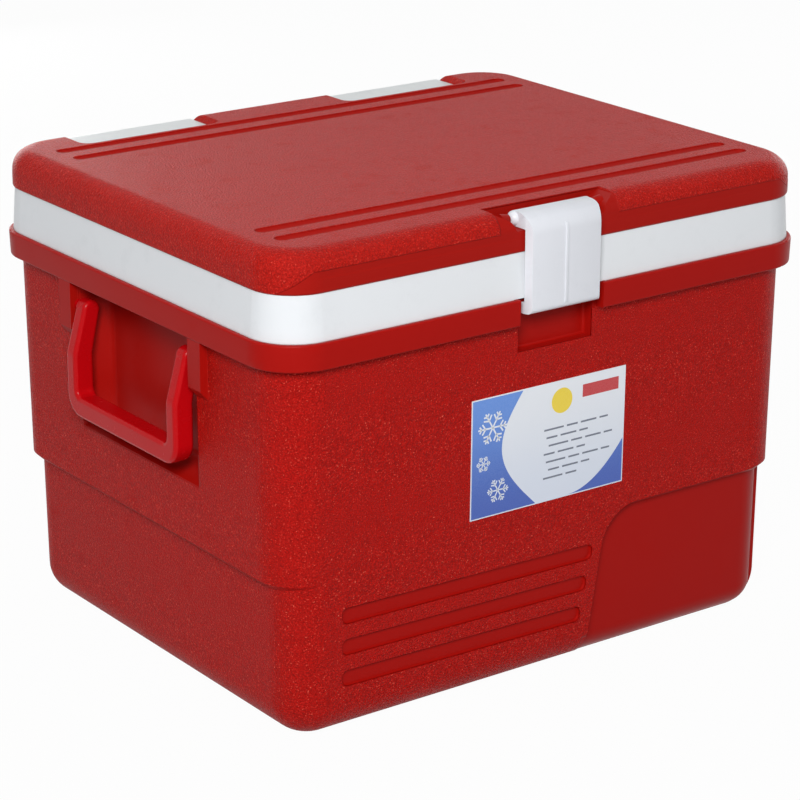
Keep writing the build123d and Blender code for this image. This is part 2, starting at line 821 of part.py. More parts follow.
plate_line = latch_profile(0)
rib_line = latch_profile(latch_rib)
with BuildPart() as latch:
    with BuildSketch(Plane.YZ.offset(-latch_ear_half_width)):
        add(make_face(plate_line, mode=Mode.PRIVATE))
        with Locations((-latch_axis_y, latch_axis_z)):
            Circle(latch_barrel)
    extrude(amount=2 * latch_ear_half_width)
    for side in (-1, 1):
        flank_x = latch_half_width if side > 0 else latch_plate - latch_half_width
        with BuildSketch(Plane.YZ.offset(flank_x - latch_plate)):
            with BuildLine():
                FilletPolyline(
                    (-latch_axis_y, latch_top_z),
                    (-latch_front_y, latch_top_z),
                    (-latch_front_y, latch_bottom_z),
                    (-lug_back_y, latch_bottom_z),
                    (-lug_back_y, lug_top_z),
                    (-band_face_y, lug_top_z + 2 * fit),
                    (-band_face_y, notch_floor_z + fit),
                    (-latch_axis_y, notch_floor_z + fit),
                    radius=(0, latch_bend, 0, 0, 0, 0, 0, 0),
                    close=True,
                )
            make_face()
        extrude(amount=latch_plate)
    with BuildSketch(Plane.YZ.offset(-catch_length / 2)):
        with BuildLine():
            Polyline(
                (-latch_front_y + latch_plate / 2, latch_bottom_z),
                (-gap_floor_y - catch_reach - fit, latch_bottom_z + fit),
                (-gap_floor_y - catch_reach - fit, latch_bottom_z + hook_thickness / 2),
                (-latch_front_y + latch_plate / 2, latch_bottom_z + hook_thickness + catch_reach),
                close=True,
            )
        make_face()
    extrude(amount=catch_length)
    with BuildSketch(Plane.XY.offset(latch_bottom_z)):
        with BuildLine():
            FilletPolyline(
                (-latch_ear_half_width, -latch_back_y),
                (latch_ear_half_width, -latch_back_y),
                (latch_ear_half_width, -latch_axis_y - latch_barrel),
                (latch_half_width, -latch_axis_y - latch_barrel),
                (latch_half_width, -latch_front_y),
                (-latch_half_width, -latch_front_y),
                (-latch_half_width, -latch_axis_y - latch_barrel),
                (-latch_ear_half_width, -latch_axis_y - latch_barrel),
                radius=(
                    latch_ear_round,
                    latch_ear_round,
                    latch_ear_edge,
                    latch_inner_round,
                    latch_edge_round,
                    latch_edge_round,
                    latch_inner_round,
                    latch_ear_edge,
                ),
                close=True,
            )
        make_face()
    extrude(amount=latch_top_z - latch_bottom_z, mode=Mode.INTERSECT)
    with BuildSketch(Plane.YZ.offset(-latch_rib_width / 2)):
        add(make_face(rib_line, mode=Mode.PRIVATE))
    extrude(amount=latch_rib_width)
    with BuildSketch(Plane.YZ.offset(-latch_ear_half_width)):
        with Locations((-latch_axis_y, latch_axis_z)):
            Circle(latch_pin_radius + pin_clearance)
    extrude(amount=2 * latch_ear_half_width, mode=Mode.SUBTRACT)
export(latch.part, "latch")

latch_pin_half = notch_neck_half_width + latch_pin_grip - fit
with BuildPart() as latch_pin:
    with BuildSketch(Plane.YZ.offset(-latch_pin_half)):
        with Locations((-latch_axis_y, latch_axis_z)):
            Circle(latch_pin_radius)
    extrude(amount=2 * latch_pin_half)
    chamfer(latch_pin.edges(), latch_pin_radius / 4)
export(latch_pin.part, "latch_pin")

# ---- Bail handles ----
bail_back_x = half_length - wall_inset(bail_bottom_z) + bail_stand_off
bail_front_x = bail_back_x + bail_depth
head_radius = bail_neck_depth / 2
for handle_side, sign in (("left", -1), ("right", 1)):
    with BuildPart() as handle:
        with BuildSketch(Plane.XZ.offset(-bail_half_width)) as profile:
            with BuildLine():
                FilletPolyline(
                    (sign * bail_back_x, bail_bottom_z),
                    (sign * bail_front_x, bail_bottom_z),
                    (sign * bail_front_x, bail_elbow_z),
                    (sign * (pivot_x + head_radius), pivot_z),
                    (sign * (pivot_x - head_radius), pivot_z),
                    (sign * bail_back_x, bail_elbow_z),
                    radius=(0, 0, bail_bend, 0, 0, bail_bend),
                    close=True,
                )
            make_face()
            with Locations((sign * pivot_x, pivot_z)):
                Circle(head_radius)
        extrude(amount=2 * bail_half_width)
        with BuildSketch(Plane.YZ.offset(-rim_length)):
            with BuildLine():
                top_z = pivot_z + 2 * head_radius
                FilletPolyline(
                    (-bail_half_width, top_z),
                    (-bail_half_width, bail_bottom_z),
                    (bail_half_width, bail_bottom_z),
                    (bail_half_width, top_z),
                    (bail_half_width - bail_bar, top_z),
                    (bail_half_width - bail_bar, bail_bottom_z + bail_bar_height),
                    (bail_bar - bail_half_width, bail_bottom_z + bail_bar_height),
                    (bail_bar - bail_half_width, top_z),
                    radius=(0, bail_corner, bail_corner, 0, 0, bail_inner_corner, bail_inner_corner, 0),
                    close=True,
                )
            make_face()
        extrude(amount=2 * rim_length, mode=Mode.INTERSECT)
        fillet(handle.edges(), bail_round)
        with BuildSketch(Plane.XZ.offset(-bail_half_width - pivot_length)):
            with Locations((sign * pivot_x, pivot_z)):
                Circle(pivot_radius)
        extrude(amount=pivot_length + bail_bar / 2)
        with BuildSketch(Plane.XZ.offset(bail_half_width - bail_bar / 2)):
            with Locations((sign * pivot_x, pivot_z)):
                Circle(pivot_radius)
        extrude(amount=pivot_length + bail_bar / 2)
    export(handle.part, f"handle_{handle_side}")
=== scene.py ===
import math

import bmesh
import bpy
from mathutils import Matrix, Vector


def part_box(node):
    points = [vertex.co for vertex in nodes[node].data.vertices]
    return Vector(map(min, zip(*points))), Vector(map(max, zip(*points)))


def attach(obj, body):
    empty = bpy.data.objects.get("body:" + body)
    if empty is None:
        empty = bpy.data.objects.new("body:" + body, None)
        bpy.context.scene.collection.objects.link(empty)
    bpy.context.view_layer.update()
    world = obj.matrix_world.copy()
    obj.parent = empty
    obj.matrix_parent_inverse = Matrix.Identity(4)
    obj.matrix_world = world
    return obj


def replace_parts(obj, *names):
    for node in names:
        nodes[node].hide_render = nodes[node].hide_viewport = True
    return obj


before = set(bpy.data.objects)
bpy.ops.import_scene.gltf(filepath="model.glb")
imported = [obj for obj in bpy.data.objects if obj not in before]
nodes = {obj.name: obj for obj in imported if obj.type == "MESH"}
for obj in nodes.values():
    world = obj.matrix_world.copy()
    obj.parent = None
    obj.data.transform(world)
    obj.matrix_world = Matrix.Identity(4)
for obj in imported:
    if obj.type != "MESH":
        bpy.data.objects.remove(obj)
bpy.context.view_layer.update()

# Lowest and highest corners of the pieces that the finishes and the new pieces are fitted to
shell_low, shell_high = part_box("body_shell")
cover_low, cover_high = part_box("lid_cover")
label_low, label_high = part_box("front_label")
latch_low, latch_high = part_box("latch")

# The body's wall starts behind the rim and leans inwards as it goes down
RIM_HEIGHT = 0.0172
RIM_BOTTOM = shell_high.z - RIM_HEIGHT
WALL_INSET = 0.0072
WALL_TOP_Y = shell_low.y + WALL_INSET
WALL_SLOPE = 0.0117


# ---- Node helpers ----
def linear(red, green, blue):
    """A linear colour from screen values of 0 to 255."""
    values = [channel / 255 for channel in (red, green, blue)]
    return tuple(v / 12.92 if v <= 0.04045 else ((v + 0.055) / 1.055) ** 2.4 for v in values) + (1.0,)


def shade_of(colour, share):
    """A colour made darker, or lighter where share is above 1."""
    return tuple(min(1.0, share * channel) for channel in colour[:3]) + (1.0,)


def add_node(tree, kind, inputs=None, **settings):
    """Adds a node, sets its properties, and fills or links its inputs."""
    made = tree.nodes.new(kind)
    for name, value in settings.items():
        setattr(made, name, value)
    for key, value in (inputs or {}).items():
        if isinstance(value, bpy.types.NodeSocket):
            tree.links.new(value, made.inputs[key])
        else:
            made.inputs[key].default_value = value
    return made


def calculate(tree, operation, *values, clamp=False):
    """A Math node's result."""
    inputs = dict(enumerate(values))
    made = add_node(tree, "ShaderNodeMath", inputs, operation=operation, use_clamp=clamp)
    return made.outputs[0]


def blend_colours(tree, share, first, second):
    """A Mix Color node's result."""
    inputs = {0: share, 6: first, 7: second}
    made = add_node(tree, "ShaderNodeMix", inputs, data_type="RGBA", blend_type="MIX")
    return made.outputs[2]


def spread(tree, value, low, high, out_low=0.0, out_high=1.0):
    """A value carried from one range to another with soft ends."""
    made = add_node(
        tree,
        "ShaderNodeMapRange",
        {"Value": value, "From Min": low, "From Max": high, "To Min": out_low, "To Max": out_high},
        interpolation_type="SMOOTHSTEP",
    )
    return made.outputs["Result"]


def noise(tree, where, scale, detail, roughness=0.5):
    """A Noise Texture's value."""
    inputs = {"Vector": where, "Scale": scale, "Detail": detail, "Roughness": roughness}
    return add_node(tree, "ShaderNodeTexNoise", inputs).outputs["Fac"]


def bump(tree, height, strength, distance, normal=None):
    """A Bump node's normal, laid over another normal where one is given."""
    inputs = {"Height": height, "Strength": strength, "Distance": distance}
    if normal is not None:
        inputs["Normal"] = normal
    return add_node(tree, "ShaderNodeBump", inputs).outputs[0]


def split_place(tree, where):
    """The three parts of a place."""
    return add_node(tree, "ShaderNodeSeparateXYZ", {0: where}).outputs


def join_place(tree, across, along, up):
    """A place from its three parts."""
    return add_node(tree, "ShaderNodeCombineXYZ", {0: across, 1: along, 2: up}).outputs[0]


def new_group(name, inputs, outputs):
    """An empty shader node group with named sockets, and its two end nodes."""
    group = bpy.data.node_groups.new(name, "ShaderNodeTree")
    for socket, kind in inputs.items():
        group.interface.new_socket(name=socket, in_out="INPUT", socket_type=kind)
    for socket, kind in outputs.items():
        group.interface.new_socket(name=socket, in_out="OUTPUT", socket_type=kind)
    return group, group.nodes.new("NodeGroupInput").outputs, group.nodes.new("NodeGroupOutput")


def use_group(tree, group, **inputs):
    """Places a node group with the given inputs and returns its outputs."""
    made = tree.nodes.new("ShaderNodeGroup")
    made.node_tree = group
    for name, value in inputs.items():
        if isinstance(value, bpy.types.NodeSocket):
            tree.links.new(value, made.inputs[name])
        else:
            made.inputs[name].default_value = value
    return made.outputs


# ---- Shared effects ----
# Width over which a mask fades at its edge
MASK_EDGE = 0.0006

# Mould grain: the scales of its two noises as shares of the pebbles' scale, and how much each adds
FINE_SCALE = 1.25
BROAD_SCALE = 0.22
FINE_HEIGHT = 1.4
FINE_MOTTLE = 0.9
BROAD_MOTTLE = 0.1
# Values of a noise between which a bright speck of painted highlight comes up, and between which a rub
# mark comes up
GLINT_RISE = (0.63, 0.73)
RUB_RISE = (0.52, 0.72)


def build_box_mask():
    """1 inside a box, 0 outside it, with an edge as soft as Edge."""
    group, given, end = new_group(
        "box_mask",
        {
            "Vector": "NodeSocketVector",
            "Centre": "NodeSocketVector",
            "Half": "NodeSocketVector",
            "Edge": "NodeSocketFloat",
        },
        {"Mask": "NodeSocketFloat"},
    )
    inputs = {0: given["Vector"], 1: given["Centre"]}
    apart = add_node(group, "ShaderNodeVectorMath", inputs, operation="SUBTRACT")
    size = add_node(group, "ShaderNodeVectorMath", {0: apart.outputs[0]}, operation="ABSOLUTE")
    inputs = {0: size.outputs[0], 1: given["Half"]}
    beyond = add_node(group, "ShaderNodeVectorMath", inputs, operation="SUBTRACT")
    parts = split_place(group, beyond.outputs[0])
    furthest = calculate(group, "MAXIMUM", calculate(group, "MAXIMUM", parts[0], parts[1]), parts[2])
    share = calculate(group, "DIVIDE", furthest, given["Edge"])
    group.links.new(calculate(group, "SUBTRACT", 0.5, share, clamp=True), end.inputs["Mask"])
    return group


def build_mould_grain():
    """Pebbled grain of a spark-eroded mould: its height, its mottling, and bright specks of painted
    highlight that stand in for glints.
    """
    group, given, end = new_group(
        "mould_grain",
        {"Vector": "NodeSocketVector", "Pebbles": "NodeSocketFloat", "Smooth": "NodeSocketFloat"},
        {"Height": "NodeSocketFloat", "Mottle": "NodeSocketFloat", "Glint": "NodeSocketFloat"},
    )
    rough = calculate(group, "SUBTRACT", 1.0, given["Smooth"], clamp=True)
    pebble = add_node(
        group,
        "ShaderNodeTexVoronoi",
        {"Vector": given["Vector"], "Scale": given["Pebbles"], "Smoothness": 0.6, "Randomness": 1.0},
        feature="SMOOTH_F1",
    )
    fine_scale = calculate(group, "MULTIPLY", given["Pebbles"], FINE_SCALE)
    fine = noise(group, given["Vector"], fine_scale, detail=3.0, roughness=0.62)
    broad_scale = calculate(group, "MULTIPLY", given["Pebbles"], BROAD_SCALE)
    broad = noise(group, given["Vector"], broad_scale, detail=2.0)
    dome = calculate(group, "SUBTRACT", 1.0, pebble.outputs["Distance"])
    height = calculate(group, "MULTIPLY_ADD", fine, FINE_HEIGHT, dome)
    group.links.new(calculate(group, "MULTIPLY", height, rough), end.inputs["Height"])
    mottle = calculate(group, "MULTIPLY", fine, FINE_MOTTLE)
    mottle = calculate(group, "MULTIPLY_ADD", broad, BROAD_MOTTLE, mottle)
    mottle = calculate(group, "MULTIPLY", calculate(group, "SUBTRACT", mottle, 0.5), rough)
    group.links.new(mottle, end.inputs["Mottle"])
    # Painted highlight: bright specks where the fine noise peaks, standing in for lamp glints on the
    # pebbles
    glint_spots = spread(group, fine, *GLINT_RISE)
    group.links.new(calculate(group, "MULTIPLY", glint_spots, rough), end.inputs["Glint"])
    return group


def build_handling_wear():
    """Faint dents and rub marks of a moulded part that has been carried about."""
    group, given, end = new_group(
        "handling_wear",
        {"Vector": "NodeSocketVector", "Amount": "NodeSocketFloat"},
        {"Height": "NodeSocketFloat", "Dulling": "NodeSocketFloat"},
    )
    wave = noise(group, given["Vector"], 14.0, detail=1.0)
    rub = noise(group, given["Vector"], 55.0, detail=5.0, roughness=0.7)
    marks = spread(group, rub, *RUB_RISE)
    group.links.new(calculate(group, "MULTIPLY", wave, given["Amount"]), end.inputs["Height"])
    group.links.new(calculate(group, "MULTIPLY", marks, given["Amount"]), end.inputs["Dulling"])
    return group


BOX_MASK = build_box_mask()
MOULD_GRAIN = build_mould_grain()
HANDLING_WEAR = build_handling_wear()


def box_mask(tree, where, low, high):
    """Mask of the space between two corners."""
    centre = [(a + b) / 2 for a, b in zip(low, high)]
    half = [(b - a) / 2 for a, b in zip(low, high)]
    return use_group(tree, BOX_MASK, Vector=where, Centre=centre, Half=half, Edge=MASK_EDGE)["Mask"]


def any_of(tree, masks):
    """The strongest of several masks."""
    result = masks[0]
    for mask in masks[1:]:
        result = calculate(tree, "MAXIMUM", result, mask)
    return result


# ---- Materials ----
RED = linear(178, 19, 13)
LID_RED = linear(174, 24, 16)
# Colour of the bright specks in the grain: painted highlight standing in for lamp glints
GLINT_COLOUR = linear(238, 128, 104)

WHITE = (1.0, 1.0, 1.0, 1.0)

# Tones of the grain's dark and light mottling and of the polished areas, as shares of the red
DARK_TONE = 0.71
LIGHT_TONE = 1.31
POLISHED_TONE = 0.84
# Mottling at which the dark or the light tone is reached, and how much less rough polished areas are
MOTTLE_REACH = 0.16
POLISH = 0.06
# Tone of smooth plastic where it is rubbed
RUBBED_TONE = 0.97

# Corners of the spaces in which the body's mould was polished
RIM = ((-0.3, -0.3, RIM_BOTTOM - 0.0002), (0.3, 0.3, 0.3))
LOUVRE_FIELD = ((-0.1645, -0.18, 0.0285), (0.0375, -0.13, 0.0885))
FRONT_PANEL = ((0.0310, -0.18, -0.001), (0.2050, -0.13, 0.1055))
LATCH_POCKET = ((-0.0305, -0.18, 0.2280), (0.0305, -0.13, 0.2570))
# Depths behind the front wall's face between which a surface comes to count as sunk
SUNK = (0.0002, 0.0009)
# At the right end. The left end mirrors it
FINGER_RECESS = ((0.18, -0.0722, 0.1470), (0.23, 0.0722, 0.3))
PIVOT_PADS = ((0.2078, -0.0870, 0.2070), (0.23, 0.0870, 0.3))

# The same for the lid, whose front and back are alike but for the notch
SEAM_HEIGHT = cover_high.z - 0.0120
SEAM_BAND = ((-1.0, 0.1600, 0.0), (0.2070, 0.2, SEAM_HEIGHT))
# How far the ends of the band below the seam run inwards for each metre that they rise
SEAM_LEAN = 1.5
LID_GROOVES = ((-0.1885, 0.0995, 0.3), (0.1885, 0.1405, cover_high.z - 0.0006))
LATCH_NOTCH = ((-0.0475, -0.2, 0.3), (0.0475, latch_high.y + 0.0060, cover_high.z - 0.0010))


def new_material(name):
    """A material with its node tree, its Principled shader and object coordinates."""
    material = bpy.data.materials.new(name)
    material.use_nodes = True
    tree = material.node_tree
    shader = tree.nodes["Principled BSDF"]
    where = tree.nodes.new("ShaderNodeTexCoord").outputs["Object"]
    return material, tree, shader, where


def set_plain(shader, **values):
    """Sets values of the shader that are the same all over the surface."""
    for name, value in values.items():
        shader.inputs[name.replace("_", " ")].default_value = value


def dulled(tree, wear, roughness, amount):
    """A roughness raised where the wear has rubbed the surface."""
    return calculate(tree, "MULTIPLY_ADD", wear["Dulling"], amount, roughness)


def moulded_red(name, colour, polished_space, pebbles, grain_depth, roughness, glint_share):
    """Red polythene with moulded grain and bright specks of painted highlight, left smooth where
    polished_space says so.
    """
    material, tree, shader, where = new_material(name)
    smooth = polished_space(tree, where)
    grain = use_group(tree, MOULD_GRAIN, Vector=where, Pebbles=pebbles, Smooth=smooth)
    wear = use_group(tree, HANDLING_WEAR, Vector=where, Amount=0.6)
    mottle = spread(tree, grain["Mottle"], -MOTTLE_REACH, MOTTLE_REACH)
    toned = blend_colours(tree, mottle, shade_of(colour, DARK_TONE), shade_of(colour, LIGHT_TONE))
    # Bright specks of painted highlight, standing in for glints, laid over the grain's colour
    glint_amount = calculate(tree, "MULTIPLY", grain["Glint"], glint_share)
    toned = blend_colours(tree, glint_amount, toned, GLINT_COLOUR)
    toned = blend_colours(tree, smooth, toned, shade_of(colour, POLISHED_TONE))
    tree.links.new(toned, shader.inputs["Base Color"])
    rough = dulled(tree, wear, roughness, amount=0.12)
    tree.links.new(calculate(tree, "MULTIPLY_ADD", smooth, -POLISH, rough), shader.inputs["Roughness"])
    dented = bump(tree, wear["Height"], strength=0.25, distance=0.004)
    pebbled = bump(tree, grain["Height"], strength=0.8, distance=grain_depth, normal=dented)
    tree.links.new(pebbled, shader.inputs["Normal"])
    set_plain(shader, Specular_IOR_Level=0.075)
    return material


def polished_on_body(tree, where):
    """Mask of the body's rim, finger recesses, pivot pads, latch pocket, louvres and front panel."""
    apart = split_place(tree, where)
    sided = join_place(tree, calculate(tree, "ABSOLUTE", apart[0]), apart[1], apart[2])
    # How far a place lies behind the leaning face of the front wall
    behind = calculate(tree, "MULTIPLY_ADD", apart[2], WALL_SLOPE, apart[1])
    behind = calculate(tree, "SUBTRACT", behind, WALL_TOP_Y + RIM_BOTTOM * WALL_SLOPE)
    sunk = spread(tree, behind, *SUNK)
    fields = [box_mask(tree, where, *field) for field in (LOUVRE_FIELD, FRONT_PANEL, LATCH_POCKET)]
    front = any_of(tree, fields)
    return any_of(
        tree,
        [
            box_mask(tree, where, *RIM),
            box_mask(tree, sided, *FINGER_RECESS),
            box_mask(tree, sided, *PIVOT_PADS),
            calculate(tree, "MULTIPLY", front, sunk),
        ],
    )


def polished_on_lid(tree, where):
    """Mask of the lid's grooves, its notch and the band below the seam on its long sides."""
    apart = split_place(tree, where)
    across = calculate(tree, "ABSOLUTE", apart[0])
    along = calculate(tree, "ABSOLUTE", apart[1])
    rise = calculate(tree, "SUBTRACT", apart[2], cover_low.z)
    leaning = calculate(tree, "MULTIPLY_ADD", rise, SEAM_LEAN, across)
    return any_of(
        tree,
        [
            box_mask(tree, join_place(tree, leaning, along, apart[2]), *SEAM_BAND),
            box_mask(tree, join_place(tree, across, along, apart[2]), *LID_GROOVES),
            box_mask(tree, where, *LATCH_NOTCH),
        ],
    )


def smooth_plastic(name, colour, roughness, level):
    """Polished plastic with faint sink marks and slightly uneven colour."""
    material, tree, shader, where = new_material(name)
    wear = use_group(tree, HANDLING_WEAR, Vector=where, Amount=1.0)
    toned = blend_colours(tree, wear["Dulling"], colour, shade_of(colour, RUBBED_TONE))
    tree.links.new(toned, shader.inputs["Base Color"])
    tree.links.new(dulled(tree, wear, roughness, amount=0.1), shader.inputs["Roughness"])
    sunken = bump(tree, wear["Height"], strength=0.25, distance=0.004)
    tree.links.new(sunken, shader.inputs["Normal"])
    set_plain(shader, Specular_IOR_Level=level)
    return material


def rigid_foam():
    """Cut foam with small open cells."""
    material, tree, shader, where = new_material("rigid_foam")
    cells = add_node(tree, "ShaderNodeTexVoronoi", {"Vector": where, "Scale": 900.0})
    tone = spread(tree, cells.outputs["Distance"], 0.0, 0.9)
    toned = blend_colours(tree, tone, linear(238, 228, 196), linear(206, 190, 148))
    tree.links.new(toned, shader.inputs["Base Color"])
    pits = bump(tree, cells.outputs["Distance"], strength=0.7, distance=0.0006)
    tree.links.new(pits, shader.inputs["Normal"])
    set_plain(shader, Roughness=0.9, Specular_IOR_Level=0.2)
    return material


def plated_steel():
    """Zinc-plated steel with a fine uneven grain."""
    material, tree, shader, where = new_material("plated_steel")
    marks = noise(tree, where, 1600.0, detail=3.0)
    toned = blend_colours(tree, marks, linear(176, 178, 182), linear(206, 207, 210))
    tree.links.new(toned, shader.inputs["Base Color"])
    tree.links.new(spread(tree, marks, 0.3, 0.7, out_low=0.28, out_high=0.44), shader.inputs["Roughness"])
    scratched = bump(tree, marks, strength=0.2, distance=0.0001)
    tree.links.new(scratched, shader.inputs["Normal"])
    set_plain(shader, Metallic=1.0)
    return material


def label_film(name, colour, top_colour=None):
    """Printed film with a faint print grain, plain or fading upwards to another ink."""
    material, tree, shader, where = new_material(name)
    height = split_place(tree, where)[2]
    grain = noise(tree, where, 1900.0, detail=1.0)
    fade = spread(tree, height, label_low.z, label_high.z)
    ink = blend_colours(tree, fade, colour, top_colour or colour)
    paler = blend_colours(tree, 0.10, ink, WHITE)
    tree.links.new(blend_colours(tree, grain, ink, paler), shader.inputs["Base Color"])
    rippled = bump(tree, noise(tree, where, 38.0, detail=1.0), strength=0.15, distance=0.001)
    tree.links.new(rippled, shader.inputs["Normal"])
    tree.links.new(spread(tree, grain, 0.3, 0.7, out_low=0.30, out_high=0.38), shader.inputs["Roughness"])
    set_plain(shader, Specular_IOR_Level=0.3)
    return material


materials = {
    "body_red": moulded_red(
        "body_red",
        RED,
        polished_on_body,
        pebbles=820.0,
        grain_depth=0.00100,
        roughness=0.44,
        # Strength of the painted highlight specks
        glint_share=1.0,
    ),
    "lid_red": moulded_red(
        "lid_red",
        LID_RED,
        polished_on_lid,
        pebbles=760.0,
        grain_depth=0.00065,
        roughness=0.42,
        # Strength of the painted highlight specks
        glint_share=0.6,
    ),
    "handle_red": smooth_plastic("handle_red", linear(186, 6, 14), roughness=0.26, level=0.13),
    "white_band": smooth_plastic("white_band", linear(228, 231, 234), roughness=0.32, level=0.35),
    "white_latch": smooth_plastic("white_latch", linear(224, 226, 232), roughness=0.30, level=0.35),
    "white_hinge": smooth_plastic("white_hinge", linear(226, 230, 230), roughness=0.32, level=0.35),
    "white_liner": smooth_plastic("white_liner", linear(226, 228, 228), roughness=0.34, level=0.35),
    "rigid_foam": rigid_foam(),
    "plated_steel": plated_steel(),
    "label_white": label_film("label_white", linear(214, 222, 236), linear(230, 234, 240)),
    "label_blue": label_film("label_blue", linear(46, 84, 176), linear(92, 140, 218)),
    "label_yellow": label_film("label_yellow", linear(236, 208, 48)),
    "label_red": label_film("label_red", linear(190, 36, 44)),
    "label_grey": label_film("label_grey", linear(104, 112, 128)),
}

node_finishes = {
    "body_shell": "body_red",
    "body_foam": "rigid_foam",
    "body_liner": "white_liner",
    "front_label": "label_white",
    "hinge_base_left": "white_hinge",
    "hinge_base_right": "white_hinge",
    "hinge_base_screws": "plated_steel",
    "hinge_leaf_left": "white_hinge",
    "hinge_leaf_right": "white_hinge",
    "hinge_leaf_screws": "plated_steel",
    "hinge_pin_left": "plated_steel",
    "hinge_pin_right": "plated_steel",
    "lid_pan": "white_band",
    "lid_cover": "lid_red",
    "lid_foam": "rigid_foam",
    "latch": "white_latch",
    "latch_pin": "plated_steel",
    "handle_left": "handle_red",
    "handle_right": "handle_red",
}
for name, finish in node_finishes.items():
    nodes[name].data.materials.clear()
    nodes[name].data.materials.append(materials[finish])


# ---- Piece helpers ----
SHARP_ANGLE = math.radians(32.0)
# Distance within which two points count as one
JOIN = 1e-6
# Least share of a face's normal along a direction for the face to count as facing that way
FACING = 0.5


def shade_by_angle(shape):
    """Smooth shading, with the edges left sharp where the faces turn by more than SHARP_ANGLE."""
    for face in shape.faces:
        face.smooth = True
    for edge in shape.edges:
        edge.smooth = edge.calc_face_angle(math.pi) < SHARP_ANGLE


def finish_piece(name, shape, finish, body):
    """Makes an object from a bmesh, gives it its finish and sets it riding on its body."""
    bmesh.ops.recalc_face_normals(shape, faces=shape.faces)
    shade_by_angle(shape)
    mesh = bpy.data.meshes.new(name)
    shape.to_mesh(mesh)
    shape.free()
    mesh.materials.append(materials[finish])
    piece = bpy.data.objects.new(name, mesh)
    bpy.context.scene.collection.objects.link(piece)
    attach(piece, body)
    return piece


def bevel_edges(shape, edges, offset, segments):
    """Rounds edges."""
    bmesh.ops.bevel(
        shape,
        geom=edges,
        offset=offset,
        segments=segments,
        profile=0.5,
        affect="EDGES",
        material=-1,
        clamp_overlap=True,
    )


def edges_where(shape, test):
    """Edges whose two ends both pass a test."""
    return [edge for edge in shape.edges if all(test(vert.co) for vert in edge.verts)]


def near(value, level, reach=0.00002):
    """Whether a value lies at a level."""
    return abs(value - level) < reach


def everything_of(shape):
    """All vertices, edges and faces of a shape."""
    return shape.verts[:] + shape.edges[:] + shape.faces[:]


def verts_of(items):
    """The vertices among some parts of a shape."""
    return [item for item in items if isinstance(item, bmesh.types.BMVert)]


def faces_of(items):
    """The faces among some parts of a shape."""
    return [item for item in items if isinstance(item, bmesh.types.BMFace)]


def edges_at(verts):
    """The edges that meet at some vertices, each once."""
    return list(dict.fromkeys(edge for vert in verts for edge in vert.link_edges))


# ---- Latch ----
# A hollow lever with softly rounded edges, domed lugs on its pivot and a raised rib down the middle
RIB_HEIGHT = 0.0007
RIB_HALF_WIDTH = 0.0012
LEVER_WALL = 0.0024
LEVER_HALF_WIDTH = 0.0291
LEVER_DRAFT = 0.0019
BARREL_RADIUS = 0.0049
BEND_RADIUS = 0.0130
FOOT_RADIUS = 0.0038
RIM_RADIUS = 0.0013
LUG_DOME = 0.0043
HOOK_STEP = 0.0006
LEVER_FRONT_Y = latch_low.y + RIB_HEIGHT
LEVER_TOP_Z = latch_high.z - RIB_HEIGHT
LATCH_AXIS = Vector((0.0, latch_high.y - BARREL_RADIUS, LEVER_TOP_Z - BARREL_RADIUS))
HOOK_Y = LEVER_FRONT_Y + 0.0090
HOOK_Z = latch_low.z + 0.0070
FLANK_Y = LEVER_FRONT_Y + 0.0056
RIB_LOW_Z = latch_low.z + 0.0042
RIB_HIGH_Z = LEVER_TOP_Z - 0.0080

# Bosses round the ends of the latch's pin
BOSS_TIP_X = latch_high.x + 0.0004
BOSS_LENGTH = 0.0070
BOSS_TIP_RADIUS = 0.0032
BOSS_ROOT_RADIUS = 0.0042
BOSS_ROUNDING = 0.0008


